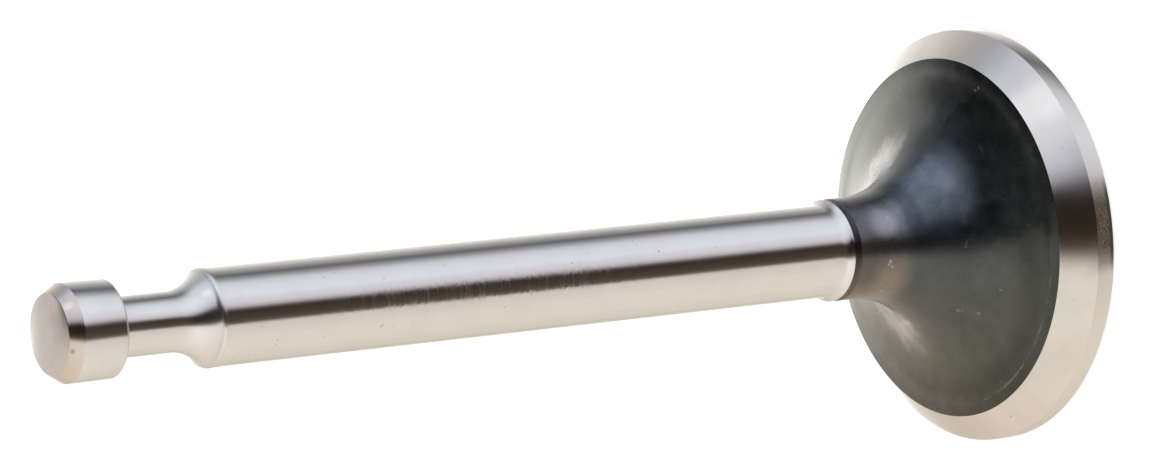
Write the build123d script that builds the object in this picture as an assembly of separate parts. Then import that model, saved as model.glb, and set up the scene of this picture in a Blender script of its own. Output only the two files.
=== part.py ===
from build123d import *
from math import acos, cos, degrees, radians, sin, tan
import os

# Poppet valve of a small side-valve engine, turned and ground from one piece of steel.
# It stands on its combustion face: the origin is the centre of that face, +Z runs up the
# stem to the tip. Every surface is one of revolution about Z, so the valve is one outline,
# drawn on the XZ plane from the axis round the head, up the stem and back at the tip, and
# turned once about Z. Lengths are in millimetres, angles in degrees.

# Head
head_dia = 28.5
face_break = 0.2  # leg of the 45 degree break on the edge of the combustion face
margin = 1.5  # height of the cylindrical rim below the seat
seat_width = 2.6  # measured along the seat cone
seat_angle = 45.0  # from the combustion face
land_width = 0.8  # radial width of the turned land inside the seat
land_angle = 6.0  # slope of the land above the combustion face
back_angle = 3.5  # slope at which the tulip leaves the land

# Neck, between the tulip and the ground stem
neck_rise = 0.33  # how far the neck stands proud of the ground stem
neck_length = 1.1  # straight part of the neck
relief_width = 0.55  # shallow relief where the grinding of the stem ends
relief_depth = 0.12
runout_radius = 1.2  # corner radius of the grinding wheel, left at the end of the stem

# Ground stem and keeper end
stem_dia = 6.3
overall_length = 73.3
tip_length = 3.95  # button above the keeper groove
groove_length = 6.95  # from the lip of the groove to the shoulder under the button
groove_depth = 1.21
groove_sweep = 3.1  # radius of the long sweep out of the groove
lip_round = 0.4  # radius that turns the sweep over into the stem
lip_rise = 0.03  # the lip stands this proud of the stem, and still passes the guide
lip_length = 1.0  # over which the lip falls back to the stem
root_fillet = 0.3  # in the corner under the shoulder
shoulder_round = 0.2  # on the edge of the shoulder
tip_chamfer_width = 0.57  # radial
tip_chamfer_length = 0.84  # axial

# Radii and heights that follow from the sizes above
head_r = head_dia / 2
rim_r = head_r - seat_width * cos(radians(seat_angle))
land_r = rim_r - land_width
stem_r = stem_dia / 2
neck_r = stem_r + neck_rise
lip_r = stem_r + lip_rise
groove_r = stem_r - groove_depth

rim_z = margin + seat_width * sin(radians(seat_angle))
land_z = rim_z + land_width * tan(radians(land_angle))
shoulder_z = overall_length - tip_length
lip_z = shoulder_z - groove_length


def tulip_radius():
    """Radius of the one arc that leaves the land at back_angle and ends upright at the neck."""
    return (land_r - neck_r) / (1 - sin(radians(back_angle)))


def runout_angle():
    """Turn of the arc that leads the neck down to the ground stem and is tangent to it."""
    return degrees(acos(1 - neck_rise / runout_radius))


def sweep_angle():
    """Turn of the lip, and back again in the sweep, that drops the stem to the groove."""
    return degrees(acos(1 - (lip_r - groove_r) / (lip_round + groove_sweep)))


def heading(angle):
    """Direction that leans this far from straight up towards the axis."""
    return (-sin(radians(angle)), cos(radians(angle)))


def turn(before, radius, angle):
    """Arc that goes on from the end of an edge, tangent to it; a positive angle turns left."""
    return JernArc(before @ 1, before % 1, radius, angle)


def head_outline():
    """Combustion face, margin, seat cone, land and tulip, up to the straight neck."""
    faces = Polyline(
        (0, 0),
        (head_r - face_break, 0),
        (head_r, face_break),
        (head_r, margin),
        (rim_r, rim_z),
        (land_r, land_z),
    )
    lean = 90 - back_angle
    tulip = JernArc(faces @ 1, heading(lean), tulip_radius(), -lean)
    return [faces, tulip]


def neck_outline(start):
    """Straight neck, relief and grinding run-out, up to the foot of the ground stem."""
    relief_z = start.Y + neck_length
    straight = Line(start, (neck_r, relief_z))
    relief = SagittaArc(straight @ 1, (neck_r, relief_z + relief_width), relief_depth)
    runout = JernArc(relief @ 1, heading(runout_angle()), runout_radius, -runout_angle())
    return [straight, relief, runout]


def stem_outline(start):
    """Ground stem, its proud lip, and the sweep down into the keeper groove."""
    stem = Polyline(start, (stem_r, lip_z - lip_length), (lip_r, lip_z))
    lip = JernArc(stem @ 1, heading(0), lip_round, sweep_angle())
    sweep = turn(lip, groove_sweep, -sweep_angle())
    return [stem, lip, sweep]


def tip_outline(start):
    """Keeper groove, shoulder, button and chamfered tip, back to the axis."""
    groove = Line(start, (groove_r, shoulder_z - root_fillet))
    root = turn(groove, root_fillet, -90)
    shoulder = Line(root @ 1, (stem_r - shoulder_round, shoulder_z))
    edge = turn(shoulder, shoulder_round, 90)
    button = Polyline(
        edge @ 1,
        (stem_r, overall_length - tip_chamfer_length),
        (stem_r - tip_chamfer_width, overall_length),
        (0, overall_length),
    )
    return [groove, root, shoulder, edge, button]


def valve():
    """The whole outline, closed along the axis and turned about it."""
    outline = head_outline()
    outline += neck_outline(outline[-1] @ 1)
    outline += stem_outline(outline[-1] @ 1)
    outline += tip_outline(outline[-1] @ 1)
    outline.append(Line(outline[-1] @ 1, (0, 0)))
    section = make_face(Curve() + outline)
    return revolve(Plane.XZ * section, Axis.Z)


os.makedirs("parts", exist_ok=True)
export_step(valve(), "parts/valve.step")
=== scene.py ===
# %% [markdown]
# # A small engine valve, turned and ground from one bar
#
# The valve stands on its combustion face, as it would on a bench. Its origin is the
# centre of that face and +Z runs up the stem to the tip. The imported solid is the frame:
# it fixes every size and place. This notebook dresses it. It sets up the camera and the
# studio, cuts a fine mesh of the valve on a make-believe lathe, and gives each band of
# the valve the finish that its machining left.

# %% Load the frame
from math import acos, atan2, cos, degrees, hypot, pi, radians, sin, tan

import bmesh
import bpy
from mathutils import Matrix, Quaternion, Vector


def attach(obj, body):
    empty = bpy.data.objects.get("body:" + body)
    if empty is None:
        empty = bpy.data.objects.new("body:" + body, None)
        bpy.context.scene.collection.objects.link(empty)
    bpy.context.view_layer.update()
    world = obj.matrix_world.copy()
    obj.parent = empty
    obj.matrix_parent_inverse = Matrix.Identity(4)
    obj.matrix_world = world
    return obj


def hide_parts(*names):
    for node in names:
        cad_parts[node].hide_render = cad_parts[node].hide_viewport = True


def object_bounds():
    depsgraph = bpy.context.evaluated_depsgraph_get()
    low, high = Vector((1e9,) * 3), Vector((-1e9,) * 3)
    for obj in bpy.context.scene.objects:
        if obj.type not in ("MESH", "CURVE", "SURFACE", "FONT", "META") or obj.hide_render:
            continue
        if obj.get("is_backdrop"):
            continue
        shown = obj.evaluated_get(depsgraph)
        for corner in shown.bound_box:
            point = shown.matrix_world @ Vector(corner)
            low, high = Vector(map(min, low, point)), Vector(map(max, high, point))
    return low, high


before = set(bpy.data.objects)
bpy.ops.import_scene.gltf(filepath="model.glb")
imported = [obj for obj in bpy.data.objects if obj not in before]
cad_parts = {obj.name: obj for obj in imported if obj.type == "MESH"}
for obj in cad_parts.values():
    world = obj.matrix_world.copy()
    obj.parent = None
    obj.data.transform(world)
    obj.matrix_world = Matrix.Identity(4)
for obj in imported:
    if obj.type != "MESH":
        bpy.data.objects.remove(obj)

cad_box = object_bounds()
print("CAD box, metres:", [tuple(round(v, 5) for v in corner) for corner in cad_box])

# %% Units and the selection
mm = 0.001


def clear_selection():
    """Leaves object mode with nothing selected."""
    if bpy.context.object and bpy.context.object.mode != "OBJECT":
        bpy.ops.object.mode_set(mode="OBJECT")
    bpy.ops.object.select_all(action="DESELECT")


clear_selection()
print("Selected objects:", len(bpy.context.selected_objects))

# %% [markdown]
# ## The camera
#
# A long lens looks down on the valve from in front, about 34 degrees above the floor.
# It is rolled a little past a quarter turn, so the stem lies across the frame with the
# tip at the left. A quaternion says this well: first aim with up as up, then roll about
# the line of sight. Euler angles would mix the two turns.

# %% Camera
camera_place = Vector((0, -280.318, 220.668)) * mm
camera_aim = Vector((2.735, 0, 33.479)) * mm
camera_roll = 95.876
camera_lens = 158.87

camera = bpy.data.objects.new("camera", bpy.data.cameras.new("camera"))
bpy.context.collection.objects.link(camera)
camera.location = camera_place
camera.rotation_mode = "QUATERNION"
aimed = (camera_aim - camera_place).to_track_quat("-Z", "Y")
camera.rotation_quaternion = aimed @ Quaternion((0, 0, 1), -radians(camera_roll))
camera.data.sensor_width = 36
camera.data.lens = camera_lens
camera.data.clip_start = 0.01
camera.data.clip_end = 10
bpy.context.scene.camera = camera
print("Camera to aim, mm:", round((camera_aim - camera_place).length / mm, 1))

# %% [markdown]
# ## Nodes and colours
#
# Every finish below is a small tree of shader nodes. One function adds a node, sets its
# properties and fills its sockets, so a finish reads as a list of what feeds what. Only
# the sockets in use count, because a Mix or a Math node hides those of its other modes.
#
# Colours are picked as sRGB hex codes, the way a paint chart gives them, and a second
# function turns a code into the linear light that the renderer counts in.


# %% One function for nodes, one for colours
def linear(code):
    """sRGB hex code to linear red, green, blue and an alpha of 1."""
    shares = [int(code[i:i + 2], 16) / 255 for i in (1, 3, 5)]
    light = [s / 12.92 if s <= 0.04045 else ((s + 0.055) / 1.055) ** 2.4 for s in shares]
    return (*light, 1)


def add(tree, kind, sockets=None, stops=None, **settings):
    """Adds a node with its settings and fills its sockets, by name or by number.

    A node or a socket as a value is linked, a node by its first output in use. A colour
    code becomes linear light. stops fills a colour ramp with places and codes or levels.
    """
    node = tree.nodes.new(kind)
    for setting, value in settings.items():
        setattr(node, setting, value)
    in_use = [socket for socket in node.inputs if socket.enabled]
    for key, value in (sockets or {}).items():
        socket = in_use[key] if isinstance(key, int) else next(
            named for named in in_use if named.name == key)
        if isinstance(value, bpy.types.Node):
            value = next(output for output in value.outputs if output.enabled)
        if isinstance(value, bpy.types.NodeSocket):
            tree.links.new(value, socket)
        else:
            socket.default_value = linear(value) if isinstance(value, str) else value
    if stops:
        elements = node.color_ramp.elements
        while len(elements) < len(stops):
            elements.new(1)
        for element, (position, value) in zip(elements, stops):
            element.position = position
            element.color = linear(value) if isinstance(value, str) else (*[value] * 3, 1)
    return node


def blank_material(name):
    """New material with an empty tree; returns both."""
    material = bpy.data.materials.new(name)
    material.use_nodes = True
    material.node_tree.nodes.clear()
    return material, material.node_tree


print("Middle grey, sRGB 0.5, is linear", round(linear("#808080")[0], 3))

# %% [markdown]
# ## The studio
#
# Bright steel has almost no colour of its own: it shows the room. A product studio for
# such a part is a tent. A warm white sheet hangs on one side, a cool soft box shines from
# the other, and the gap between them, where the camera looks in, stays dark. That gap is
# the dark line along every polished shaft. Lamps could do it, but one world whose light
# depends on direction is soft, has little noise and lights the valve from every side.
#
# Azimuth 0 is the camera's side, and it grows towards +X. A radial gradient gives it as
# a number from 0 to 1, and the height of the direction above the floor is its Z.

# %% Directions in the tent
world = bpy.data.worlds.new("studio_tent")
bpy.context.scene.world = world
world.use_nodes = True
tree = world.node_tree
tree.nodes.clear()


def around(azimuth):
    """Place of an azimuth in degrees on the radial gradient."""
    return azimuth / 360 + 0.5


def at_height(elevation):
    """Z of a direction this many degrees above the floor."""
    return sin(radians(elevation))


direction = add(tree, "ShaderNodeTexCoord").outputs["Generated"]
turned = add(tree, "ShaderNodeMapping", {"Vector": direction, "Rotation": (0, 0, pi / 2)})
azimuth = add(tree, "ShaderNodeTexGradient", {"Vector": turned},
              gradient_type="RADIAL").outputs["Fac"]
height = add(tree, "ShaderNodeSeparateXYZ", {"Vector": direction}).outputs["Z"]
print("The camera's side is at", around(0), "on the gradient")

# %% [markdown]
# The soft box bows away from the gap, less below the level than above it. So its side
# of the tent is read at an azimuth that slips with the square of the height.

# %% The lean of the soft box
bow = 26 / 360
bow_below = 0.64
box_begins = (around(-12), around(8))

box_side = add(tree, "ShaderNodeMapRange", {
    "Value": azimuth, "From Min": box_begins[0], "From Max": box_begins[1]})
below = add(tree, "ShaderNodeMath", {0: height, 1: -bow_below}, operation="MULTIPLY")
away = add(tree, "ShaderNodeMath", {0: height, 1: below}, operation="MAXIMUM")
square = add(tree, "ShaderNodeMath", {0: away, 1: 2}, operation="POWER")
slip = add(tree, "ShaderNodeMath", {0: square, 1: bow}, operation="MULTIPLY")
slipped = add(tree, "ShaderNodeMath", {0: box_side, 1: slip}, operation="MULTIPLY")
leaned = add(tree, "ShaderNodeMath", {0: azimuth, 1: slipped}, operation="SUBTRACT")
print("The box slips by", round(bow * 360 * at_height(45) ** 2, 1), "degrees at 45 up")

# %% [markdown]
# Two colour ramps hold the light all round, one for below the level and one for above
# it, and they blend across it. Each starts behind the valve, runs over the warm sheet,
# drops into the gap and climbs out of it over the cool soft box.

# %% The light all round
blend_from, blend_to = at_height(-14), at_height(9)

lower = add(tree, "ShaderNodeValToRGB", {"Fac": leaned}, stops=[
    (around(-180), "#DFDAD3"), (around(-166), "#CAC3BA"), (around(-150), "#BDB3A6"),
    (around(-130), "#D3C9BC"), (around(-90), "#E2D9CC"), (around(-60), "#E2D8CD"),
    (around(-26), "#D3CBC3"), (around(-23), "#B9B1A8"), (around(-20), "#5E564E"),
    (around(-13), "#4A4239"), (around(4), "#352C23"), (around(9), "#5F5752"),
    (around(14), "#AEA7A8"), (around(21), "#D0CCD0"), (around(42), "#E0E2EA"),
    (around(62), "#DADCE3"), (around(75), "#CDCED4"), (around(88), "#979799"),
    (around(100), "#626163"), (around(120), "#A3A09D"), (around(140), "#CFCDCA"),
    (around(160), "#E4E2DE")])
upper = add(tree, "ShaderNodeValToRGB", {"Fac": leaned}, stops=[
    (around(-180), "#D6CBC2"), (around(-150), "#D6C8B8"), (around(-90), "#EAE0D5"),
    (around(-55), "#F2EBE4"), (around(-29), "#F0E9E2"), (around(-24), "#BCB3A9"),
    (around(-19), "#544C42"), (around(-10), "#2C241C"), (around(4), "#1F1812"),
    (around(9), "#4C4749"), (around(15), "#A3A1AC"), (around(25), "#CFD2E0"),
    (around(45), "#E6E9F2"), (around(62), "#E8E9F0"), (around(74), "#D9DADF"),
    (around(92), "#D3D9E8"), (around(112), "#A7AAB1"), (around(130), "#B5B1AD"),
    (around(165), "#E8E6E1")])
rise = add(tree, "ShaderNodeMapRange", {
    "Value": height, "From Min": blend_from, "From Max": blend_to})
sides = add(tree, "ShaderNodeMix", {"Factor": rise, "A": lower, "B": upper},
            data_type="RGBA")
print("Stops round the tent:", len(lower.color_ramp.elements))

# %% [markdown]
# The tent is brightest near the level. It dims a little downwards and a little more
# towards its top. One more ramp holds this, from straight down to straight up.

# %% The light from bottom to top
tent_light = 2.0


def upwards(elevation):
    """Place of an elevation in degrees on a ramp that runs from straight down to up."""
    return (at_height(elevation) + 1) / 2


upright = add(tree, "ShaderNodeMapRange", {"Value": height, "From Min": -1, "From Max": 1})
levels = add(tree, "ShaderNodeValToRGB", {"Fac": upright}, stops=[
    (upwards(-30), 0.79), (upwards(-15), 0.84), (upwards(15), 0.8),
    (upwards(60), 0.68)])
strength = add(tree, "ShaderNodeMath", {0: levels, 1: tent_light}, operation="MULTIPLY")
print("Levels going up:", [round(e.color[0], 2) for e in levels.color_ramp.elements])

# %% [markdown]
# The top of the tent is open and dark. Its edge is low over the soft box and behind the
# valve, and high over the white sheet, so the height of the edge is a ramp of its own.

# %% Open top of the tent
edge_blur = 0.045
room_colour = "#26282A"

edge = add(tree, "ShaderNodeValToRGB", {"Fac": azimuth}, stops=[
    (around(-180), at_height(50)), (around(-162), at_height(66)),
    (around(-145), at_height(80)), (around(-45), at_height(80)),
    (around(-20), at_height(70)), (around(-8), at_height(58)), (around(60), at_height(57)),
    (around(84), at_height(53)), (around(104), at_height(46)),
    (around(128), at_height(28)), (around(146), at_height(27)),
    (around(180), at_height(39))])
over = add(tree, "ShaderNodeMath", {0: height, 1: edge}, operation="SUBTRACT")
opening = add(tree, "ShaderNodeMapRange", {
    "Value": over, "From Min": -edge_blur, "From Max": edge_blur},
    interpolation_type="SMOOTHSTEP")
tent = add(tree, "ShaderNodeMix", {"Factor": opening, "A": sides, "B": room_colour},
           data_type="RGBA")
glow = add(tree, "ShaderNodeBackground", {"Color": tent, "Strength": strength})
print("Stops along the edge:", len(edge.color_ramp.elements))

# %% [markdown]
# Two places are brighter than the rest. The paper behind the valve is lit until it is
# pure white, from well below the level up to where the tent opens.

# %% Lit paper behind the valve
paper_glow = 4.4
paper_colour = "#FFFDF8"
paper_foot = (at_height(-46), at_height(-40))
paper_top = (at_height(27), at_height(41))

behind = add(tree, "ShaderNodeValToRGB", {"Fac": azimuth}, stops=[
    (around(-180), 1.0), (around(-176), 0.15), (around(-170), 0.0), (around(157), 0.0),
    (around(166), 0.08), (around(171), 0.3), (around(177), 1.0)])
under_top = add(tree, "ShaderNodeMapRange", {
    "Value": height, "From Min": paper_top[0], "From Max": paper_top[1],
    "To Min": 1, "To Max": 0}, interpolation_type="SMOOTHSTEP")
over_foot = add(tree, "ShaderNodeMapRange", {
    "Value": height, "From Min": paper_foot[0], "From Max": paper_foot[1]})
between = add(tree, "ShaderNodeMath", {0: under_top, 1: over_foot}, operation="MULTIPLY")
on_paper = add(tree, "ShaderNodeMath", {0: behind, 1: between}, operation="MULTIPLY")
paper_light = add(tree, "ShaderNodeMath", {0: on_paper, 1: paper_glow},
                  operation="MULTIPLY")
wall = add(tree, "ShaderNodeBackground", {"Color": paper_colour, "Strength": paper_light})
print("Stops across the paper:", len(behind.color_ramp.elements))

# %% [markdown]
# The other is the hot spot of the soft box, in front of its lamp. The dot product of a
# direction and the lamp's own direction is the cosine of the angle between them.

# %% Hot spot of the soft box
lamp_glow = 0.4
lamp_colour = "#F0F4FF"
lamp_azimuth = 77
lamp_height = 35
lamp_reach = 13

lamp = (sin(radians(lamp_azimuth)) * cos(radians(lamp_height)),
        -cos(radians(lamp_azimuth)) * cos(radians(lamp_height)), at_height(lamp_height))
facing = add(tree, "ShaderNodeVectorMath", {0: direction, 1: lamp},
             operation="DOT_PRODUCT")
hot = add(tree, "ShaderNodeMapRange", {
    "Value": facing, "From Min": cos(radians(lamp_reach)), "From Max": 1,
    "To Min": 0, "To Max": lamp_glow}, interpolation_type="SMOOTHSTEP")
spot = add(tree, "ShaderNodeBackground", {"Color": lamp_colour, "Strength": hot})
both = add(tree, "ShaderNodeAddShader", {0: glow, 1: wall})
studio = add(tree, "ShaderNodeAddShader", {0: both, 1: spot})
add(tree, "ShaderNodeOutputWorld", {"Surface": studio})
print("World nodes:", len(tree.nodes))

# %% [markdown]
# ## Floor
#
# The valve stands on a pale floor that curves up into a wall all round, like a photo
# cove, so no horizon shows from any side. Polished steel would mirror it, and the tent
# is what the steel should mirror, so reflections and bounced light pass through it. The
# paper also glows by itself, which keeps it an even white.

# %% Floor and cove
floor_radius = 1.1
cove_radius = 0.5
cove_steps = 10
wall_height = 2.2
smooth_below = 30
paper_own_glow = 0.85

clear_selection()
bpy.ops.mesh.primitive_circle_add(
    vertices=96, radius=floor_radius, fill_type="NGON", location=(0, 0, 0))
floor = bpy.context.object
floor.name = "floor"
bpy.ops.object.mode_set(mode="EDIT")
bpy.ops.mesh.select_all(action="SELECT")
bpy.ops.mesh.region_to_loop()
reach, height = floor_radius, 0.0
for step in range(1, cove_steps + 1):
    lean = radians(90 * step / cove_steps)
    new_reach = floor_radius + cove_radius * sin(lean)
    new_height = cove_radius * (1 - cos(lean))
    bpy.ops.mesh.extrude_region_move(
        TRANSFORM_OT_translate={"value": (0, 0, new_height - height)})
    grow = new_reach / reach
    bpy.ops.transform.resize(value=(grow, grow, 1), center_override=(0, 0, new_height))
    reach, height = new_reach, new_height
bpy.ops.mesh.extrude_region_move(TRANSFORM_OT_translate={"value": (0, 0, wall_height)})
bpy.ops.object.mode_set(mode="OBJECT")
bpy.ops.object.shade_smooth_by_angle(angle=radians(smooth_below))
floor.visible_glossy = False
floor.visible_diffuse = False
floor.visible_shadow = False
floor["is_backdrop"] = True

# Cove: matt white photo paper, bent and never creased, so it is one even white.
paper, tree = blank_material("white_paper_cove")
sheet = add(tree, "ShaderNodeBsdfPrincipled", {
    "Base Color": "#9A9A99", "Roughness": 0.9, "Emission Color": "#FFFFFF",
    "Emission Strength": paper_own_glow})
add(tree, "ShaderNodeOutputMaterial", {"Surface": sheet})
floor.data.materials.append(paper)

bpy.context.scene.view_settings.view_transform = "Standard"
print("Cove reaches, mm:", round(reach / mm), "across and", round(height / mm), "up")

# %% [markdown]
# ## A card behind the tip
#
# The flat tip mirrors the lit paper behind the valve and would burn out. A photographer
# holds up a small grey card there, just out of sight. This one is seen by reflections
# alone, so it stays out of every picture and takes no light from the floor.

# %% Grey card
card_size = 60
card_place = (0, 62, 107)
card_lean = 62
card_strength = 1.1

clear_selection()
bpy.ops.mesh.primitive_plane_add(
    size=card_size * mm, location=[v * mm for v in card_place],
    rotation=(radians(card_lean), 0, 0))
card = bpy.context.object
card.name = "grey_card"
card.visible_camera = False
card.visible_diffuse = False
card.visible_shadow = False
card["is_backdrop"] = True

# Card: plain board, lit by the sheet beside it, so the tip mirrors an even warm grey.
card_paper, tree = blank_material("grey_card")
card_glow = add(tree, "ShaderNodeEmission", {
    "Color": "#EEE2DB", "Strength": card_strength})
add(tree, "ShaderNodeOutputMaterial", {"Surface": card_glow})
card.data.materials.append(card_paper)
print("Card is", card_size, "mm wide and leans back by", card_lean, "degrees")

# %% [markdown]
# ## The outline of the valve
#
# Every surface of a valve is turned, so the mesh is made as the lathe makes it: one
# outline, spun about the stem. The outline starts as a single point, the centre of the
# combustion face. A straight cut is an extrusion of its last point, and a round one is a
# spin of that point about the centre of the arc, so each arc is a true arc with as many
# steps as it needs. Extruding rings up the stem would also work, but each arc would need
# its radii worked out by hand.
#
# The radius of the head and the length are read from the frame's box. The rest are the
# valve's own sizes in millimetres, the same as the solid's, with angles in degrees.

# %% Sizes of the valve
head_r = round(cad_box[1][0] / mm, 3)
face_break = 0.2
margin = 1.5
seat_width = 2.6
seat_angle = 45
land_width = 0.8
land_angle = 6
back_angle = 3.5

stem_r = 3.15
neck_rise = 0.33
neck_r = stem_r + neck_rise
neck_length = 1.1
relief_width = 0.55
relief_depth = 0.12
runout_radius = 1.2

overall_length = round(cad_box[1][2] / mm, 3)
tip_length = 3.95
groove_length = 6.95
groove_depth = 1.21
groove_r = stem_r - groove_depth
groove_sweep = 3.1
lip_rise = 0.03
lip_r = stem_r + lip_rise
lip_round = 0.4
lip_length = 1.0
root_fillet = 0.3
shoulder_round = 0.2
tip_chamfer_width = 0.57
tip_chamfer_length = 0.84

rim_r = head_r - seat_width * cos(radians(seat_angle))
rim_z = margin + seat_width * sin(radians(seat_angle))
land_r = rim_r - land_width
land_z = rim_z + land_width * tan(radians(land_angle))
shoulder_z = overall_length - tip_length
lip_z = shoulder_z - groove_length
print("Head radius and length, mm:", head_r, overall_length)
print("Seat runs from", head_r, "to", round(rim_r, 3), "mm in radius")

# %% [markdown]
# The pen of the outline is whichever point is selected. Two functions move it: one draws
# a straight stretch to a radius and a height, the other turns it about a centre, left
# for a positive angle. Spin turns the other way round its axis than a screw would, so
# on the XZ plane, seen from -Y, a positive angle about +Y runs anticlockwise.

# %% The pen
clear_selection()
bpy.ops.mesh.primitive_plane_add(size=1 * mm, location=(0, 0, 0))
valve = bpy.context.object
valve.name = "valve_finished"
bpy.ops.object.mode_set(mode="EDIT")
bpy.ops.mesh.merge(type="CENTER")


def pen():
    """Radius and height of the selected end of the outline, in millimetres."""
    end = next(v for v in bmesh.from_edit_mesh(valve.data).verts if v.select)
    return end.co.x / mm, end.co.z / mm


def cut_to(radius, height):
    """Straight stretch from the pen to this radius and height."""
    here, up = pen()
    bpy.ops.mesh.extrude_region_move(
        TRANSFORM_OT_translate={"value": ((radius - here) * mm, 0, (height - up) * mm)})


def turn(centre_radius, centre_height, angle, steps):
    """Arc from the pen about a centre; a positive angle turns left."""
    bpy.ops.mesh.spin(
        steps=steps, angle=radians(angle), axis=(0, 1, 0),
        center=(centre_radius * mm, 0, centre_height * mm))


print("Pen starts at", pen())

# %% [markdown]
# ## Head
#
# From the centre out: the combustion face, a small broken edge, the margin, the 45
# degree seat and a narrow turned land. Then one arc, the tulip, leaves the land almost
# flat and ends upright at the neck. Its radius follows from where it starts and ends.

# %% Draw the head
cut_to(head_r - face_break, 0)
cut_to(head_r, face_break)
cut_to(head_r, margin)
cut_to(rim_r, rim_z)
cut_to(land_r, land_z)
tulip_r = (land_r - neck_r) / (1 - sin(radians(back_angle)))
tulip_top = land_z + tulip_r * cos(radians(back_angle))
turn(neck_r + tulip_r, tulip_top, -(90 - back_angle), steps=72)
print("Tulip radius, mm:", round(tulip_r, 3), "pen at", [round(v, 3) for v in pen()])

# %% [markdown]
# ## Neck and stem
#
# The neck stands proud of the ground stem. A shallow relief gives the grinding wheel
# room, and the corner of the wheel leaves a small round where it stopped. The lip at the
# top of the stem is a few hundredths proud, then it rolls over into the keeper groove.

# %% Draw the neck and the stem
neck_top = tulip_top + neck_length
cut_to(neck_r, neck_top)
relief_r = (relief_width ** 2 / 4 + relief_depth ** 2) / (2 * relief_depth)
relief_half = degrees(atan2(relief_width / 2, relief_r - relief_depth))
relief_mid = neck_top + relief_width / 2
turn(neck_r + relief_r - relief_depth, relief_mid, -2 * relief_half, steps=10)
runout_turn = degrees(acos(1 - (neck_r - stem_r) / runout_radius))
runout_top = pen()[1] + runout_radius * sin(radians(runout_turn))
turn(stem_r + runout_radius, runout_top, -runout_turn, steps=8)
cut_to(stem_r, lip_z - lip_length)
cut_to(lip_r, lip_z)
sweep_turn = degrees(acos(1 - (lip_r - groove_r) / (lip_round + groove_sweep)))
turn(lip_r - lip_round, lip_z, sweep_turn, steps=10)
sweep_top = lip_z + (lip_round + groove_sweep) * sin(radians(sweep_turn))
turn(groove_r + groove_sweep, sweep_top, -sweep_turn, steps=24)
print("Pen at the top of the sweep, mm:", [round(v, 3) for v in pen()])

# %% [markdown]
# ## Keeper groove and tip
#
# The groove ends in a small fillet under the shoulder of the button. The button carries
# the load of the spring through the keeper, and its top edge is chamfered.

# %% Draw the groove and the tip
cut_to(groove_r, shoulder_z - root_fillet)
turn(groove_r + root_fillet, shoulder_z - root_fillet, -90, steps=8)
cut_to(stem_r - shoulder_round, shoulder_z)
turn(stem_r - shoulder_round, shoulder_z + shoulder_round, 90, steps=6)
cut_to(stem_r, overall_length - tip_chamfer_length)
cut_to(stem_r - tip_chamfer_width, overall_length)
cut_to(0, overall_length)
bpy.ops.object.mode_set(mode="OBJECT")
print("Outline points:", len(valve.data.vertices))

# %% [markdown]
# ## Turn the outline into the valve
#
# The whole outline is selected and spun once about the stem. The spin lays its last copy
# on the first, so the doubles are merged before the normals are recalculated: on an open
# seam Blender could not tell the inside from the outside. Last, a bevel takes the
# sharpness off each corner, as a ground edge has, and catches a thin line of light.

# %% Spin, close and break the edges
turns = 288
edge_round = 0.022
corner_from = 18
weld_distance = 1e-6

bpy.ops.object.mode_set(mode="EDIT")
bpy.ops.mesh.select_all(action="SELECT")
bpy.ops.mesh.spin(steps=turns, angle=2 * pi, center=(0, 0, 0), axis=(0, 0, 1))
bpy.ops.mesh.select_all(action="SELECT")
bpy.ops.mesh.remove_doubles(threshold=weld_distance)
bpy.ops.mesh.select_all(action="SELECT")
bpy.ops.mesh.normals_make_consistent(inside=False)
bpy.ops.object.mode_set(mode="OBJECT")

broken = valve.modifiers.new("broken_edges", "BEVEL")
broken.limit_method = "ANGLE"
broken.angle_limit = radians(corner_from)
broken.width = edge_round * mm
broken.segments = 2
bpy.ops.object.modifier_apply(modifier=broken.name)
bpy.ops.object.shade_smooth_by_angle(angle=radians(smooth_below))
weighted = valve.modifiers.new("flat_faces", "WEIGHTED_NORMAL")
weighted.keep_sharp = True
bpy.ops.object.modifier_apply(modifier=weighted.name)
print("Faces:", len(valve.data.polygons))

# %% [markdown]
# ## Bands of finish
#
# One bar of steel wears several finishes, because each band was machined another way or
# not at all. They are materials in slots of the one mesh, and each face takes the slot
# of the band that its centre lies in, told by its height and its distance from the axis.
# The stem's band begins just above the middle of the relief, where the grinding wheel
# stopped, and the shoulder's just below the shoulder, to take in the end of the fillet.

# %% Give each face its band
flat_from = 0.95
relief_seam = 0.04
lip_band = 0.35
shoulder_seam = 0.02
bands = ["combustion_face", "rim_edge", "margin", "seat", "scaled_back", "relief", "stem",
         "lip", "groove", "shoulder", "button", "chamfer", "tip"]


def band_of(radius, height, up):
    """Name of the band at a place on the surface; up is the Z of its normal."""
    if up < -flat_from and height < face_break:
        return "combustion_face"
    if height < face_break:
        return "rim_edge"
    if height < margin:
        return "margin"
    if radius > rim_r and height < rim_z:
        return "seat"
    if height < neck_top:
        return "scaled_back"
    if height < relief_mid + relief_seam:
        return "relief"
    if height < lip_z:
        return "stem"
    if height < lip_z + lip_band:
        return "lip"
    if height < shoulder_z - shoulder_seam:
        return "groove"
    if height < shoulder_z + shoulder_round:
        return "shoulder"
    if height < overall_length - tip_chamfer_length:
        return "button"
    return "tip" if up > flat_from else "chamfer"


counts = dict.fromkeys(bands, 0)
for face in valve.data.polygons:
    centre = face.center / mm
    band = band_of(hypot(centre.x, centre.y), centre.z, face.normal.z)
    face.material_index = bands.index(band)
    counts[band] += 1
print("Faces in each band:", counts)

# %% [markdown]
# ## Coordinates of a turned part
#
# Tool marks run round the part. So each finish works out the angle about the stem and
# the distance from it out of the Object coordinates. UVs would do it too, but they would
# need a seam and would have to be laid out band by band.


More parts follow.
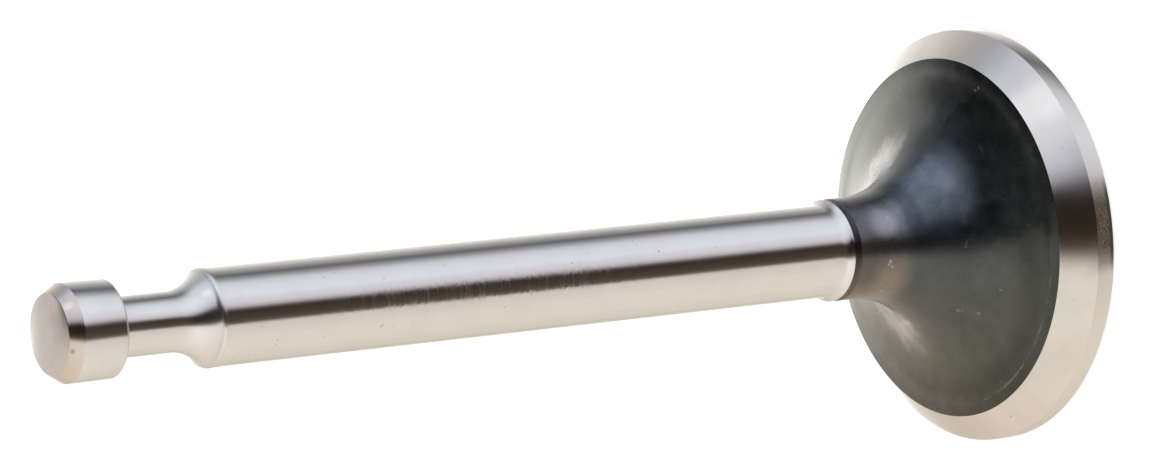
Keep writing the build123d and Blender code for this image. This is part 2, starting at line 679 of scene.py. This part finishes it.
# %% A tree with the coordinates of a turned part
def turned_tree(name):
    """New material; returns it, its tree and two coordinates.

    The first is the place in millimetres. The second is the place wrapped round the
    stem: its X is the angle in radians, its Y the radius and its Z the height.
    """
    material, tree = blank_material(name)
    place = add(tree, "ShaderNodeTexCoord").outputs["Object"]
    measured = add(tree, "ShaderNodeVectorMath", {0: place, "Scale": 1 / mm},
                   operation="SCALE")
    x, y, z = add(tree, "ShaderNodeSeparateXYZ", {"Vector": measured}).outputs
    spin = add(tree, "ShaderNodeMath", {0: y, 1: x}, operation="ARCTAN2")
    flat = add(tree, "ShaderNodeCombineXYZ", {"X": x, "Y": y})
    radius = add(tree, "ShaderNodeVectorMath", {0: flat}, operation="LENGTH")
    wrapped = add(tree, "ShaderNodeCombineXYZ", {"X": spin, "Y": radius, "Z": z})
    return material, tree, measured, wrapped


print("Coordinates ready")

# %% [markdown]
# ## Marks and where they are
#
# A grinding wheel leaves fine lines that run round the part, far too fine to see one by
# one, but together they draw out each reflection along the stem and fray the edge of the
# dark line. They are noise on the wrapped coordinates, with the angle scaled down so
# that a mark is long and thin. Real lines are a few hundredths of a millimetre apart and
# would only flicker in a picture, so they are drawn coarser, at 0.12 to 0.25 mm. An
# anisotropic shader would stretch the reflections too, but it shows no single mark.
#
# A window keeps a mark to its place. It is three numbers: from, to, and how far it fades
# outside of both. Heights and radii are in millimetres, and sides are in degrees from +X,
# so the camera's side is at -90. Noise runs mostly between 0.3 and 0.7, so that span is
# what a roughness is read from.

# %% Lines, windows and spots
noise_low, noise_high = 0.3, 0.7


def stretched_noise(tree, wrapped, along, across, detail):
    """Noise whose features are along mm long round the stem and across mm up it."""
    shares = (stem_r / along, 1 / across, 1 / across)
    squeezed = add(tree, "ShaderNodeVectorMath", {0: wrapped, 1: shares},
                   operation="MULTIPLY")
    return add(tree, "ShaderNodeTexNoise", {
        "Vector": squeezed, "Scale": 1.0, "Detail": detail})


def window(tree, value, low, high, soft):
    """1 while a value is between low and high, fading to 0 over soft on both sides."""
    half = (high - low) / 2
    middle = add(tree, "ShaderNodeMath", {0: value, 1: (low + high) / 2},
                 operation="SUBTRACT")
    off = add(tree, "ShaderNodeMath", {0: middle}, operation="ABSOLUTE")
    return add(tree, "ShaderNodeMapRange", {
        "Value": off, "From Min": half, "From Max": half + soft, "To Min": 1, "To Max": 0},
        interpolation_type="SMOOTHSTEP")


def side_window(tree, spin, low, high, soft):
    """Window on the angle about the stem, in degrees from +X."""
    return window(tree, spin, radians(low), radians(high), radians(soft))


ragged_by = 0.2
core, fringe = 0.6, 1.4


def spots_at(tree, place, wobble, balls):
    """Mask of small ragged balls of space, given as centre and radius in millimetres."""
    mask = None
    for centre, reach in balls:
        away = add(tree, "ShaderNodeVectorMath", {0: place, 1: centre},
                   operation="DISTANCE")
        ragged = add(tree, "ShaderNodeMath", {0: wobble, 1: ragged_by, 2: away},
                     operation="MULTIPLY_ADD")
        ball = add(tree, "ShaderNodeMapRange", {
            "Value": ragged, "From Min": reach * core + ragged_by / 2,
            "From Max": reach * fringe + ragged_by / 2, "To Min": 1, "To Max": 0})
        if mask:
            ball = add(tree, "ShaderNodeMath", {0: mask, 1: ball}, operation="MAXIMUM")
        mask = ball
    return mask


print("Marks ready")

# %% [markdown]
# The stem has one more trace. Over its middle the wheel was dressed coarser and left a
# fine hatch of marks a fifth of a millimetre apart. It is strongest on the camera's side
# and a trace of it runs all over. Each mark is a little rougher than the steel beside it,
# so it is paler where it crosses the dark line of the tent.

# %% Hatch on the middle of the stem
hatch_height = (37, 49, 9)
hatch_side = (-100, -62, 25)
hatch_trace = 0.15
hatch_step = 0.2
hatch_length = 0.45
hatch_depth = 0.008
scuff_length = 1.6
scuff_span = (0.46, 0.7)
scuff_most = 0.11


def hatched(tree, wrapped, rough, normal):
    """Roughness and normal with the hatch laid over them."""
    spin, _, height = add(tree, "ShaderNodeSeparateXYZ", {"Vector": wrapped}).outputs
    coarse = add(tree, "ShaderNodeMath", {
        0: window(tree, height, *hatch_height), 1: side_window(tree, spin, *hatch_side)},
        operation="MULTIPLY")
    share = add(tree, "ShaderNodeMapRange", {"Value": coarse, "To Min": hatch_trace})
    marks = stretched_noise(tree, wrapped, hatch_length, hatch_step, 1.0)
    rows = add(tree, "ShaderNodeMath", {0: marks, 1: share}, operation="MULTIPLY")
    normal = add(tree, "ShaderNodeBump", {
        "Height": rows, "Distance": hatch_depth * mm, "Normal": normal})
    streaks = stretched_noise(tree, wrapped, scuff_length, hatch_step, 2.0)
    scuffs = add(tree, "ShaderNodeValToRGB", {"Fac": streaks},
                 stops=[(scuff_span[0], 0.0), (scuff_span[1], scuff_most)])
    scuffed = add(tree, "ShaderNodeMath", {0: scuffs, 1: share}, operation="MULTIPLY")
    rough = add(tree, "ShaderNodeMath", {0: rough, 1: scuffed}, operation="ADD")
    return rough, normal


print("Hatch runs from", hatch_height[0], "to", hatch_height[1], "mm up")

# %% [markdown]
# ## Ground steel
#
# Hardened valve steel is a chromium steel, a little warmer and darker than silver. Its
# surface is not quite even: faint stains two or three millimetres across, and freckles
# of some tenths, where oil dried on it. Both are drawn at their own size.

# %% Steel cut round its axis
stain = "#A9A49C"
stain_size = 2.5
stain_span = (0.4, 0.75)
freckle = "#9C948A"
freckle_size = 0.385
freckle_span = (0.7, 0.76)
freckle_most = 0.8
fleck = "#A09388"
line_length = 2.3
smoothest, roughest = 0.85, 1.2


def ground_steel(name, steel, roughness, line_step, line_depth, hatch=False, stained=0.1,
                 flecks=()):
    """Steel cut round its axis, with lines line_step mm apart and line_depth mm deep."""
    material, tree, place, wrapped = turned_tree(name)
    clouds = add(tree, "ShaderNodeTexNoise", {
        "Vector": place, "Scale": 1 / stain_size, "Detail": 2.0})
    spots = add(tree, "ShaderNodeTexNoise", {
        "Vector": place, "Scale": 1 / freckle_size, "Detail": 4.0})
    stains = add(tree, "ShaderNodeValToRGB", {"Fac": clouds},
                 stops=[(stain_span[0], 0.0), (stain_span[1], stained)])
    freckles = add(tree, "ShaderNodeValToRGB", {"Fac": spots},
                   stops=[(freckle_span[0], 0.0), (freckle_span[1], freckle_most)])
    tint = add(tree, "ShaderNodeMix", {"Factor": stains, "A": steel, "B": stain},
               data_type="RGBA")
    tint = add(tree, "ShaderNodeMix", {"Factor": freckles, "A": tint, "B": freckle},
               data_type="RGBA")
    if flecks:
        mask = spots_at(tree, place, spots, flecks)
        tint = add(tree, "ShaderNodeMix", {"Factor": mask, "A": tint, "B": fleck},
                   data_type="RGBA")
    rough = add(tree, "ShaderNodeMapRange", {
        "Value": clouds, "From Min": noise_low, "From Max": noise_high,
        "To Min": roughness * smoothest, "To Max": roughness * roughest})
    lines = stretched_noise(tree, wrapped, line_length, line_step, 3.0)
    normal = add(tree, "ShaderNodeBump", {"Height": lines, "Distance": line_depth * mm})
    if hatch:
        rough, normal = hatched(tree, wrapped, rough, normal)
    metal = add(tree, "ShaderNodeBsdfPrincipled", {
        "Base Color": tint, "Metallic": 1.0, "Roughness": rough, "Normal": normal})
    add(tree, "ShaderNodeOutputMaterial", {"Surface": metal})
    return material


print("Stains are", stain_size, "mm wide and freckles", freckle_size)

# %% [markdown]
# Nine bands wear this steel. They come from one function with other numbers: a colour,
# a roughness, and how far apart and how deep the lines are, in millimetres.

# %% The ground and turned bands
# Stem: centreless ground, the finest band, so it mirrors the tent almost sharply.
stem_steel = ground_steel("ground_stem_steel", "#CACACB", 0.11, 0.12, 0.0008, hatch=True)
# Button: ground with the stem and handled more, so its reflections are softer.
button_steel = ground_steel("ground_button_steel", "#CACACB", 0.13, 0.12, 0.0008)
# Seat: ground on its own wheel, a touch coarser, so its light spreads round the cone.
seat_steel = ground_steel("ground_seat_steel", "#C8C5C1", 0.15, 0.15, 0.0008, stained=0.25)
# Groove and sweep: cut with a form tool, whose streaks break up the highlights.
groove_steel = ground_steel("formed_groove_steel", "#CACACB", 0.16, 0.14, 0.004)
# Lip: the keeper rubs on it, so its thin line of light is dull and streaked.
lip_steel = ground_steel("rubbed_lip_steel", "#C6C5C4", 0.2, 0.14, 0.004)
# Shoulder: the keeper presses on it, so it is dull and stays a plain grey.
shoulder_steel = ground_steel("rubbed_shoulder_steel", "#CACACB", 0.42, 0.2, 0.003)
# Chamfer: turned, so tool marks ring its highlight, and it has one dark fleck.
chamfer_steel = ground_steel("turned_chamfer_steel", "#BFB8B2", 0.15, 0.2, 0.003,
                             flecks=[((-1.17, -2.43, 73.13), 0.13)])
# Combustion face: faced in the lathe and never ground, so it is a soft, stained grey.
face_steel = ground_steel("faced_steel", "#C4C2C0", 0.3, 0.2, 0.003, stained=0.4)
# Tip: ground flat on the side of a wheel, so it is one even grey with faint stains.
tip_steel = ground_steel("ground_tip_steel", "#C6C5C3", 0.2, 0.2, 0.001, stained=0.3)
print("Nodes in the ground stem steel:", len(stem_steel.node_tree.nodes))

# %% [markdown]
# ## The margin and its rust
#
# The margin was turned and never ground. It is a little rougher than the seat, and on
# one side damp has settled in the marks and left fine grains of brown rust. On that side
# the lower edge is also darker, a green-grey line. Neither is drawn as metal, so under
# them the metal fades out and a dull colour takes its place. Two materials would meet at
# a hard edge, so one holds both. The broken edge below shares the patch.

# %% Margin
rust = "#4A3822"
rust_side = (-96, -86, 9)
rust_grain = 0.1
rust_cover = [(0.3, 0.75), (0.6, 1.0)]
# Green-grey of a darker line along the lower edge on the rust's side.
dark_line = "#33392F"
dark_line_height = (0, 0.38, 0.15)
metal_left = 0.1
rust_roughness = 0.6
turned_length, turned_step, turned_depth = 3.0, 0.25, 0.003


def rusted_margin(name, steel, roughness):
    """Turned steel with rust, and a darker green-grey lower edge, on one side."""
    material, tree, place, wrapped = turned_tree(name)
    spin, _, height = add(tree, "ShaderNodeSeparateXYZ", {"Vector": wrapped}).outputs
    near = side_window(tree, spin, *rust_side)
    grains = add(tree, "ShaderNodeTexNoise", {
        "Vector": place, "Scale": 1 / rust_grain, "Detail": 2.0})
    cover = add(tree, "ShaderNodeValToRGB", {"Fac": grains}, stops=rust_cover)
    specks = add(tree, "ShaderNodeMath", {0: cover, 1: near}, operation="MULTIPLY")
    low = window(tree, height, *dark_line_height)
    dark_line_mask = add(tree, "ShaderNodeMath", {0: low, 1: near}, operation="MULTIPLY")
    dull = add(tree, "ShaderNodeMath", {0: specks, 1: dark_line_mask}, operation="MAXIMUM")
    rusted = add(tree, "ShaderNodeMix", {"Factor": specks, "A": steel, "B": rust},
                 data_type="RGBA")
    tint = add(tree, "ShaderNodeMix", {"Factor": dark_line_mask, "A": rusted, "B": dark_line},
               data_type="RGBA")
    shine = add(tree, "ShaderNodeMapRange", {
        "Value": dull, "To Min": 1, "To Max": metal_left})
    rough = add(tree, "ShaderNodeMapRange", {
        "Value": dull, "To Min": roughness, "To Max": rust_roughness})
    lines = stretched_noise(tree, wrapped, turned_length, turned_step, 3.0)
    normal = add(tree, "ShaderNodeBump", {"Height": lines, "Distance": turned_depth * mm})
    metal = add(tree, "ShaderNodeBsdfPrincipled", {
        "Base Color": tint, "Metallic": shine, "Roughness": rough, "Normal": normal})
    add(tree, "ShaderNodeOutputMaterial", {"Surface": metal})
    return material


# Margin: turned with a round tool, so its wide marks soften what it mirrors.
margin_steel = rusted_margin("turned_margin_steel", "#C6C4C0", 0.19)
# Broken edge of the rim: handled and dulled, so it is a dark line beside bright steel.
edge_steel = rusted_margin("dulled_edge_steel", "#767975", 0.35)
print("Rust spreads over", rust_side[1] - rust_side[0], "degrees of the rim")

# %% [markdown]
# ## Heat scale on the back of the head
#
# The back of the head is left as it came from the forging and hardening, with a skin of
# black iron oxide. The oxide conducts, so it is drawn as a very dark metal: it mirrors
# about a tenth of the room face on and nearly all of it at a glance. A small part of it
# scatters, so its darkest places are never quite black.
#
# The heat left it cloudy. Round the tulip it is olive, and higher up, towards the neck,
# it turns brown. The rings also carry painted light: a blue patch on the tulip and a
# lilac one on the neck are painted reflections of the cool soft box, darker places beside
# them and on the land towards +X are painted shade, and the far side is lightened as a
# painted highlight. Five rings of colour hold this from the rim to the collar under the
# relief, and a sixth colours the relief. Each gives a colour for some azimuths, with 0 at
# the camera's side. A painted texture could hold all of it, but rings need no UVs and are
# easy to change.

# %% Colours of the scale round the valve
# Land: 30 to 78 are painted shade, darkest at 60.
land_scale_and_shade = {
    -90: "#4F504A", -60: "#454742", -10: "#5B6260", 30: "#373E3D", 60: "#1D2222",
    78: "#404345", 105: "#636663", 195: "#636360"}
# Outer: 120 to 225 are lightened as a painted highlight on the far side.
outer_scale_and_highlight = {
    -90: "#585C55", -30: "#595D5C", -12: "#5F6566", 0: "#4A5153", 15: "#60696A",
    45: "#444B4A", 75: "#585D60", 120: "#666663", 150: "#535352", 225: "#636360"}
# Tulip: 44 to 62 are a painted reflection of the cool soft box, the darker stops at 10 and
# 74 beside it painted shade, and 120 to 240 a painted highlight on the far side.
tulip_scale_and_light = {
    -90: "#575857", -45: "#4E5150", -4: "#484D4F", 10: "#3B4247", 44: "#606872",
    62: "#68747F", 74: "#48515B", 97: "#484A4D", 120: "#CACAC8", 240: "#DADAD5",
    258: "#6C6D6B"}
# Neck: 20 to 38 are a painted reflection of the cool soft box.
neck_scale_and_reflection = {
    -90: "#87827D", -60: "#7E756D", -25: "#736C67", 0: "#505457", 20: "#74747B",
    38: "#7B7F88", 58: "#4D5156", 90: "#8A8882"}
collar_scale = {
    -90: "#6C6660", -60: "#716962", -40: "#605A54", 0: "#5E5F60", 40: "#5D5F63",
    90: "#75736F"}
# Relief: the near black at 4 is painted shade of the recess on the camera's side.
relief_colours_and_shade = {
    -90: "#655B54", -40: "#5B514A", -15: "#463F39", 4: "#24211E", 30: "#424243",
    48: "#424547", 75: "#6F6A66", 180: "#6B655F"}


def round_valve(azimuth):
    """Place of an azimuth on a ramp that starts a quarter turn before the camera's side."""
    return (azimuth + 90) / 360


def ring(tree, spin, colours):
    """Colour round the valve, closed where the ramp ends."""
    share = add(tree, "ShaderNodeMath", {0: spin, 1: 0.5 / pi, 2: 0.5},
                operation="MULTIPLY_ADD")
    stops = [(round_valve(azimuth), code) for azimuth, code in colours.items()]
    return add(tree, "ShaderNodeValToRGB", {"Fac": share},
               stops=stops + [(1.0, colours[-90])])


print("Colours round the tulip:", len(tulip_scale_and_light))

# %% [markdown]
# The tulip's ring is the ground colour. Each of the others takes over outwards or
# upwards, between the two sizes given for it. A soft noise moves the angle and the
# radius at which they are read, so no border is a clean line.

# %% From ring to ring
takes_over = {"outer": (7.1, 9.9), "land": (9.2, 10.7), "neck": (8.6, 10.4),
              "collar": (11.0, 12.4)}
drift_angle = 28
drift_radius = 2.4


def scale_colour(tree, spin, radius, height, clouds, drift):
    """Colour of the scale at a place, with the painted reflections, highlight and shade of
    its rings, before the clouds and the painted shade of belt and waist count.
    """
    centred = add(tree, "ShaderNodeMath", {0: drift, 1: 0.5}, operation="SUBTRACT")
    moved = add(tree, "ShaderNodeMath", {0: centred, 1: radians(drift_angle), 2: spin},
                operation="MULTIPLY_ADD")
    loose = add(tree, "ShaderNodeMath", {0: clouds, 1: drift_radius, 2: radius},
                operation="MULTIPLY_ADD")
    tint = ring(tree, moved, tulip_scale_and_light)
    for zone, colours, ruler, blend in (
            ("outer", outer_scale_and_highlight, loose, "LINEAR"), ("land", land_scale_and_shade, radius, "LINEAR"),
            ("neck", neck_scale_and_reflection, height, "SMOOTHSTEP"),
            ("collar", collar_scale, height, "LINEAR")):
        begins, full = takes_over[zone]
        amount = add(tree, "ShaderNodeMapRange", {
            "Value": ruler, "From Min": begins, "From Max": full},
            interpolation_type=blend)
        tint = add(tree, "ShaderNodeMix", {
            "Factor": amount, "A": tint, "B": ring(tree, moved, colours)},
            data_type="RGBA")
    return tint


print("Rings that take over:", list(takes_over))

# %% [markdown]
# The clouds are strongest from the camera's side towards +X, and there the colour is also
# darkened in two places as painted shade: in a belt where the tulip starts to rise and at
# its waist, under the neck.

# %% Clouds and painted shade of the scale
cloud_side = (-82, -25, 15)
cloud_swing = (0.5, 1.15)
# The waist and the belt are painted shade, darkened to the level below.
waist_shade_height = (8.5, 9.1, 0.6)
waist_shade_side = (-76, -14, 9)
belt_shade_radius = (6.8, 7.5, 0.9)
belt_shade_side = (-85, -5, 12)
painted_shade_level = 0.65


def scale_level(tree, spin, radius, height, clouds):
    """Level of the scale's colour: about 1 with its clouds, and less in the belt and the
    waist of painted shade.
    """
    swing = add(tree, "ShaderNodeMapRange", {
        "Value": side_window(tree, spin, *cloud_side),
        "To Min": cloud_swing[0], "To Max": cloud_swing[1]})
    centred = add(tree, "ShaderNodeMath", {0: clouds, 1: 0.5}, operation="SUBTRACT")
    cloudy = add(tree, "ShaderNodeMath", {0: centred, 1: swing, 2: 1.0},
                 operation="MULTIPLY_ADD")
    waist_shade = add(tree, "ShaderNodeMath", {
        0: window(tree, height, *waist_shade_height), 1: side_window(tree, spin, *waist_shade_side)},
        operation="MULTIPLY")
    belt_shade = add(tree, "ShaderNodeMath", {
        0: window(tree, radius, *belt_shade_radius), 1: side_window(tree, spin, *belt_shade_side)},
        operation="MULTIPLY")
    painted_shade = add(tree, "ShaderNodeMath", {0: waist_shade, 1: belt_shade}, operation="MAXIMUM")
    dimmed = add(tree, "ShaderNodeMapRange", {
        "Value": painted_shade, "To Min": 1, "To Max": painted_shade_level})
    return add(tree, "ShaderNodeMath", {0: cloudy, 1: dimmed}, operation="MULTIPLY")


# The level printed is that of the painted shade.
print("Thick scale has", painted_shade_level, "of its colour")

# %% [markdown]
# A few nicks go through the scale to dull steel, and on the neck there are lighter chips.
# Each is one or more balls of space, a tenth of a millimetre or so, in which the steel
# shows. Noise on the distance makes their outline ragged. They are colour alone, because
# a skin a few microns thick has no depth to cut into the mesh. One wide ball at the neck
# is a painted reflection of the cool soft box, in a lilac grey.

# %% Nicks, chips and a painted reflection
nicks = [
    ((6.0, -6.05, 4.2), 0.07), ((5.82, -6.15, 4.22), 0.1), ((5.64, -6.25, 4.24), 0.1),
    ((5.5, -6.34, 4.26), 0.07), ((-0.76, -5.77, 6.14), 0.08), ((-0.55, -5.83, 6.11), 0.1),
    ((-0.35, -5.9, 6.07), 0.08), ((-5.04, -3.67, 5.74), 0.11), ((-5.12, -3.9, 5.6), 0.07),
    ((-5.38, -4.83, 4.93), 0.1), ((-3.92, -6.94, 4.48), 0.09), ((9.77, -5.29, 3.47), 0.1),
    ((9.9, -5.6, 3.45), 0.09)]
chips = [
    ((-1.2, -3.36, 10.79), 0.12), ((-1.4, -3.29, 10.88), 0.1), ((-1.55, -3.26, 10.6), 0.08),
    ((-3.17, -1.72, 10.58), 0.1), ((1.78, -3.16, 10.48), 0.09)]
# A painted reflection of the cool soft box on the neck, as one wide ball.
neck_reflection_spots = [((1.4, -3.26, 10.94), 0.9)]
print("Nicks:", len(nicks), "and chips:", len(chips))

# %% [markdown]
# The finish puts these together. The edge between land and tulip is worn bare in places,
# on one side, where a hand or a rag catches it. A fine grain of a tenth of a millimetre
# gives the skin its tooth; the real grain is finer still.

# %% Heat scale
bare_steel = "#777671"
bright_steel = "#9A938D"
worn_edge = "#7C7B75"
# Lilac grey of the painted reflection on the neck.
neck_reflection_colour = "#88868F"
cloud_size, drift_size, grain_size = 1.33, 2.0, 0.11
grain_depth = 0.0011
scale_roughness = (0.24, 0.31)
worn_patches = [(0.44, 0.0), (0.56, 0.8)]
worn_radius = (land_r - 0.01, land_r + 0.04, 0.05)
worn_side = (-160, -100, 20)
scale_metal = 0.9


def heat_scale(name):
    """Oxide skin with its clouds, its nicks and the worn edge of the land, and the painted
    reflections, highlight and shade of its colour.
    """
    material, tree, place, wrapped = turned_tree(name)
    spin, radius, height = add(tree, "ShaderNodeSeparateXYZ", {"Vector": wrapped}).outputs
    clouds = add(tree, "ShaderNodeTexNoise", {
        "Vector": place, "Scale": 1 / cloud_size, "Detail": 4.0, "Roughness": 0.6})
    drift = add(tree, "ShaderNodeTexNoise", {
        "Vector": place, "Scale": 1 / drift_size, "Detail": 3.0, "Roughness": 0.6,
        "Distortion": 0.4})
    grain = add(tree, "ShaderNodeTexNoise", {
        "Vector": place, "Scale": 1 / grain_size, "Detail": 3.0})
    colour = scale_colour(tree, spin, radius, height, clouds, drift)
    level = scale_level(tree, spin, radius, height, clouds)
    tint = add(tree, "ShaderNodeVectorMath", {0: colour, "Scale": level},
               operation="SCALE")
    patchy = add(tree, "ShaderNodeValToRGB", {"Fac": clouds}, stops=worn_patches)
    rubbed = add(tree, "ShaderNodeMath", {
        0: window(tree, radius, *worn_radius), 1: patchy}, operation="MULTIPLY")
    worn = add(tree, "ShaderNodeMath", {
        0: rubbed, 1: side_window(tree, spin, *worn_side)}, operation="MULTIPLY")
    # The first mask lays on the painted reflection; the others are worn, nicked and chipped
    # steel.
    for mask, code in (
            (spots_at(tree, place, clouds, neck_reflection_spots), neck_reflection_colour), (worn, worn_edge),
            (spots_at(tree, place, grain, nicks), bare_steel),
            (spots_at(tree, place, grain, chips), bright_steel)):
        tint = add(tree, "ShaderNodeMix", {"Factor": mask, "A": tint, "B": code},
                   data_type="RGBA")
    rough = add(tree, "ShaderNodeMapRange", {
        "Value": clouds, "From Min": noise_low, "From Max": noise_high,
        "To Min": scale_roughness[0], "To Max": scale_roughness[1]})
    tooth = add(tree, "ShaderNodeBump", {"Height": grain, "Distance": grain_depth * mm})
    skin = add(tree, "ShaderNodeBsdfPrincipled", {
        "Base Color": tint, "Metallic": scale_metal, "Roughness": rough, "Normal": tooth})
    add(tree, "ShaderNodeOutputMaterial", {"Surface": skin})
    return material


# Back of the head: forged, hardened and left black, so light lies on it in soft clouds;
# its rings add painted reflections, a painted highlight and painted shade.
back_scale_and_light = heat_scale("black_heat_scale_and_painted_light")
print("Nodes in the heat scale:", len(back_scale_and_light.node_tree.nodes))

# %% [markdown]
# The relief above the neck is too narrow for clouds. The scale in it is brown more than
# black, and darkest towards the camera's side as painted shade of the recess, so a ring of
# colours without any noise is enough.

# %% Scale in the relief
relief_roughness = 0.35


def relief_scale(name):
    """Oxide skin with painted shade, which changes only with the side of the valve."""
    material, tree, _, wrapped = turned_tree(name)
    spin = add(tree, "ShaderNodeSeparateXYZ", {"Vector": wrapped}).outputs["X"]
    skin = add(tree, "ShaderNodeBsdfPrincipled", {
        "Base Color": ring(tree, spin, relief_colours_and_shade), "Metallic": scale_metal,
        "Roughness": relief_roughness})
    add(tree, "ShaderNodeOutputMaterial", {"Surface": skin})
    return material


# Relief: turned before hardening and missed by the wheel, so it keeps brown scale,
# darkened by painted shade into a thin dark ring.
relief_skin = relief_scale("relief_heat_scale_and_shade")
print("Colours round the relief:", len(relief_colours_and_shade))

# %% [markdown]
# ## Put the finishes on
#
# The slots of the mesh are filled in the order of the bands, which is the order that the
# faces were numbered in. A mesh for each band would do too, but it would leave open
# shells, and the valve is one closed piece.

# %% Fill the slots
finishes = {
    "combustion_face": face_steel, "rim_edge": edge_steel, "margin": margin_steel,
    "seat": seat_steel, "scaled_back": back_scale_and_light, "relief": relief_skin,
    "stem": stem_steel, "lip": lip_steel, "groove": groove_steel,
    "shoulder": shoulder_steel, "button": button_steel, "chamfer": chamfer_steel,
    "tip": tip_steel}
for band in bands:
    valve.data.materials.append(finishes[band])
print("Finishes:", len(finishes))

# %% [markdown]
# ## Hand over
#
# The finished mesh stands in for the imported solid and rides on the one body. Its box is
# kept beside the solid's.

clear_selection()
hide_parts("valve")
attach(valve, "root")

sizes = {"cad": [list(corner) for corner in cad_box],
         "visual": [list(corner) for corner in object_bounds()]}
for name, corners in sizes.items():
    print(name, "box, mm:", [[round(v / mm, 3) for v in corner] for corner in corners])
